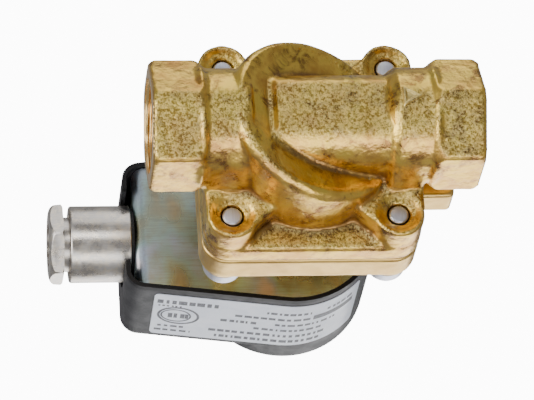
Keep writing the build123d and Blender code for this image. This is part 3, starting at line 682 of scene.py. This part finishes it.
def make_bonnet():
    """Forged bonnet, plain where it is machined: the joint face and the ring around the stem."""
    points, quads, normals, convex, hollow = cast("bonnet", 0.55, 4)
    from_stem = np.hypot(points[:, 0] - stem_x, points[:, 1])
    faced = (points[:, 2] < bonnet_low.z + 0.3 * MM) | (from_stem < 11.5 * MM)
    raw = np.where(faced, 0.0, 1.0)
    points -= normals * ((0.08 * swell(points, 11, 8) + 0.03 * swell(points, 3.0, 9)) * MM * raw)[:, None]
    points = np.clip(points, np.array(bonnet_low), np.array(bonnet_high))
    mesh = solid_mesh(
        "cover_casting",
        [(points, quads.tolist())],
        # convex edges, which get rubbed brass colour and a painted highlight
        edge=[smooth_step(convex, 200, 560) * raw],
        # hollows, which get painted shade
        cavity=[smooth_step(hollow, 0.15, 0.9)],
    )
    add_piece("cover_casting", mesh, ["bonnet"])


# ---------------------------------------------------------------- rating label
label_taper = math.radians(7.1)
label_start = label_low.x - stem_x
label_side = (-coil_radius * math.sin(label_taper) - label_start) / math.cos(label_taper)


def on_label(along, up, lift):
    """Point along the wrap and up the label, all in millimetres, lifted off the housing."""
    along, up, lift = along * MM, up * MM, lift * MM
    radius = coil_radius + lift
    if along <= label_side:
        x = label_start + along * math.cos(label_taper)
        y = (coil_radius + x * math.sin(label_taper)) / math.cos(label_taper) + lift
        return (stem_x + x, y, label_low.z + up)
    angle = math.pi / 2 + label_taper - (along - label_side) / coil_radius
    return (stem_x + radius * math.cos(angle), radius * math.sin(angle), label_low.z + up)


def label_patch(outline_rows, lift, depth):
    """Closed thin patch that follows the housing. outline_rows are (along, lowest up, highest up)."""
    points, faces = [], []
    for along, low, high in outline_rows:
        for up, height in ((low, lift), (high, lift), (high, lift - depth), (low, lift - depth)):
            points.append(on_label(along, up, height))
    for i in range(len(outline_rows) - 1):
        for k in range(4):
            a, b = 4 * i + k, 4 * i + (k + 1) % 4
            faces.append((a, b, b + 4, a + 4))
    last = 4 * (len(outline_rows) - 1)
    faces += [(3, 2, 1, 0), (last, last + 1, last + 2, last + 3)]
    return points, faces


def make_label():
    """Foil label with rounded ends and a generic print of dashes, bars and two ovals."""
    length = (label_side + coil_radius * math.radians(56.6)) / MM
    height = (label_high.z - label_low.z) / MM
    corner, foil_lift, print_lift, print_depth = 1.4, 0.2, 0.235, 0.03
    rows, columns = [], 120
    for i in range(columns + 1):
        along = length * i / columns
        inset = corner - min(corner, along, length - along)
        low = corner - math.sqrt(max(0.0, corner**2 - inset**2))
        rows.append((along, low, height - low))
    parts, tones = [label_patch(rows, foil_lift, 0.18)], [0]

    def bar(start, up, width, tall):
        count = max(2, int(width / 0.8) + 2)
        strip = [(start + width * i / (count - 1), up, up + tall) for i in range(count)]
        parts.append(label_patch(strip, print_lift, print_depth))
        tones.append(1)

    def dashes(start, up, end, tall, seed, widest):
        random = np.random.default_rng(seed)
        while start < end:
            width = random.uniform(0.5, widest)
            bar(start, up, min(width, end - start + 0.2), tall)
            start += width + random.uniform(0.4, 0.9)

    dashes(1.0, 3.2, 18.8, 2.2, 1, 2.9)
    dashes(1.4, 6.4, 8.0, 0.8, 2, 0.9)
    blocks = (
        (33.0, 4.6, 46.0, 1.3),
        (24.0, 8.2, 47.0, 1.3),
        (20.0, 11.8, 31.0, 1.5),
        (36.0, 11.8, 54.0, 1.2),
        (30.0, 15.2, 50.0, 1.3),
        (2.0, 19.2, 9.6, 1.1),
        (1.2, 21.9, 11.6, 1.1),
        (17.0, 18.7, 52.0, 1.5),
        (19.0, 22.1, 50.0, 1.6),
        (51.0, 4.4, 60.0, 1.3),
    )
    for seed, (start, low, end, tall) in enumerate(blocks):
        dashes(start, low, end, tall, seed + 3, 2.2)
    bar(47.0, 7.2, 13.5, 2.6)
    # two nested ovals, a generic approval mark
    ring, middle, under_print = 48, 12.6, print_lift - print_depth
    for centre, wide, tall, thick, start in ((7.6, 6.2, 5.4, 0.75, 0.0), (6.9, 4.5, 3.9, 0.5, 0.6)):
        for k in range(ring):
            a, b = 2 * math.pi * k / ring + start, 2 * math.pi * (k + 1) / ring + start
            quad = []
            for angle, grow in ((a, 0), (b, 0), (b, thick), (a, thick)):
                along = centre + (wide - grow) * math.cos(angle)
                quad.append((along, middle + (tall - grow) * math.sin(angle)))
            points = [on_label(along, up, print_lift) for along, up in quad]
            points += [on_label(along, up, under_print) for along, up in quad]
            sides = [(i, (i + 1) % 4, 4 + (i + 1) % 4, 4 + i) for i in range(4)]
            parts.append((points, [(3, 2, 1, 0), (4, 5, 6, 7)] + sides))
            tones.append(1)
    for k, start in enumerate((4.6, 6.3, 8.2, 9.6)):
        bar(start, 11.3, 1.0 if k % 2 else 1.3, 2.8)
    mesh = solid_mesh("rating_plate", parts)
    index = [tone for (_, faces), tone in zip(parts, tones) for _ in faces]
    mesh.polygons.foreach_set("material_index", index)
    mesh.update()
    form = bmesh.new()
    form.from_mesh(mesh)
    bmesh.ops.recalc_face_normals(form, faces=form.faces)
    form.to_mesh(mesh)
    form.free()
    mesh.set_sharp_from_angle(angle=math.radians(40))
    add_piece("rating_plate", mesh, ["rating_label"], materials["label"], label_ink())


# ---------------------------------------------------------------- every other visible part
def make_fittings():
    """Every turned, pressed or moulded part that shows, with its edge width in millimetres."""
    fittings = (
        ("cover_screws", "bonnet_screws", 0.22),
        ("lock_washers", "spring_washers", 0.2),
        ("coil_shell", "coil_housing", 0.3),
        ("yoke_plate", "base_plate", 0.3),
        ("stem_collar", "tube_collar", 0.25),
        ("stem_core", "fixed_core", 0.25),
        ("stem_nut", "coil_nut", 0.3),
        ("stem_washer", "coil_washer", 0.2),
        ("stem_top_seal", "top_seal", 0.2),
        ("stem_low_seal", "lower_seal", 0.15),
        ("gland_socket", "gland_body", 0.35),
        ("gland_cap", "gland_nut", 0.35),
        ("gland_pad", "gland_gasket", 0.2),
        ("gland_bush", "gland_seal", 0.3),
        ("gland_ring", "gland_washer", 0.15),
        ("gland_back_nut", "gland_locknut", 0.2),
        ("earthing_screw", "earth_screw", 0.15),
        ("pole_block", "terminal_block", 0.3),
        ("pole_screws", "terminal_screws", 0.15),
    )
    for name, node, width_mm in fittings:
        detail(name, node, width_mm)


def dress_hidden():
    """Procedural finishes on the CAD nodes that are shown as they are."""
    for name, node in frame["nodes"].items():
        if node.hide_render:
            continue
        node.data.materials.clear()
        node.data.materials.append(materials[node_slot[name]])


# ---------------------------------------------------------------- camera, stage and light
def make_camera():
    """Camera below the valve, which it shows close to upside down."""
    right = Vector((0.99289, 0.06319, -0.10086))
    down = Vector((-0.00888, 0.88438, 0.46668))
    forward = right.cross(down)
    data = bpy.data.cameras.new("camera")
    data.sensor_width = 36.0
    data.lens = 240.35
    data.clip_start = 0.05
    data.clip_end = 60.0
    camera = bpy.data.objects.new("camera", data)
    turn = Matrix((right, -down, -forward)).transposed()
    camera.matrix_world = Matrix.Translation((-0.0842, 0.4740, -0.8563)) @ turn.to_4x4()
    bpy.context.scene.collection.objects.link(camera)
    bpy.context.scene.camera = camera


def area_light(name, direction, distance, size, power, colour=(1, 1, 1), target=(0.035, 0.0, 0.03)):
    """Soft panel that shines on the valve from a direction and isn't seen itself."""
    data = bpy.data.lights.new(name, "AREA")
    data.shape = "RECTANGLE"
    data.size, data.size_y = size
    data.energy = power
    data.color = colour
    lamp = bpy.data.objects.new(name, data)
    lamp.location = Vector(target) + Vector(direction).normalized() * distance
    lamp.rotation_mode = "QUATERNION"
    lamp.rotation_quaternion = (-Vector(direction)).to_track_quat("-Z", "X")
    lamp.visible_camera = False
    bpy.context.scene.collection.objects.link(lamp)


def make_world():
    """White backdrop for the camera, soft grey fill for everything else."""
    world = bpy.data.worlds.new("studio")
    bpy.context.scene.world = world
    world.use_nodes = True
    tree = world.node_tree
    background = tree.nodes["Background"]
    seen = tree.nodes.new("ShaderNodeLightPath")
    level = tree.nodes.new("ShaderNodeMix")
    level.data_type = "RGBA"
    level.inputs["A"].default_value = (0.33, 0.33, 0.335, 1)
    level.inputs["B"].default_value = (12.0, 12.0, 12.0, 1)
    tree.links.new(seen.outputs["Is Camera Ray"], level.inputs["Factor"])
    tree.links.new(level.outputs["Result"], background.inputs["Color"])
    background.inputs["Strength"].default_value = 1.0


def make_floor():
    """Pale sheet far under the valve, kept out of its reflections and its indirect light."""
    mesh = bpy.data.meshes.new("floor")
    form = bmesh.new()
    bmesh.ops.create_grid(form, x_segments=8, y_segments=8, size=30.0)
    form.to_mesh(mesh)
    form.free()
    floor = bpy.data.objects.new("floor", mesh)
    floor.location = (0, 0, -1.3)
    bpy.context.scene.collection.objects.link(floor)
    floor.visible_glossy = False
    floor.visible_diffuse = False
    paint = Shader("floor_paint", roughness=0.9, Emission_Strength=1.0)
    pale = paint.mix(paint.noise(400.0, 3.0), (0.86, 0.86, 0.86), (0.9, 0.9, 0.9))
    paint.colour(pale)
    paint.feed(paint.surface.inputs["Emission Color"], pale)
    floor.data.materials.append(paint.material)


def make_lights():
    """Five soft panels around the valve: in front, below, behind, at the inlet and above."""
    area_light("front_panel", (0.0, 0.92, -0.37), 0.95, (0.34, 1.3), 5.6)
    area_light("under_panel", (-0.20, -0.02, -0.975), 1.0, (0.5, 0.26), 2.2)
    area_light("back_panel", (0.05, -0.90, -0.42), 1.0, (0.9, 0.5), 2.2)
    area_light("inlet_panel", (-0.92, 0.15, -0.30), 0.95, (0.6, 0.7), 8.0)
    area_light("top_panel", (0.25, 0.30, 1.0), 1.4, (1.2, 1.2), 14.0)


make_body()
make_bonnet()
make_label()
make_fittings()
dress_hidden()
make_camera()
make_world()
make_floor()
make_lights()
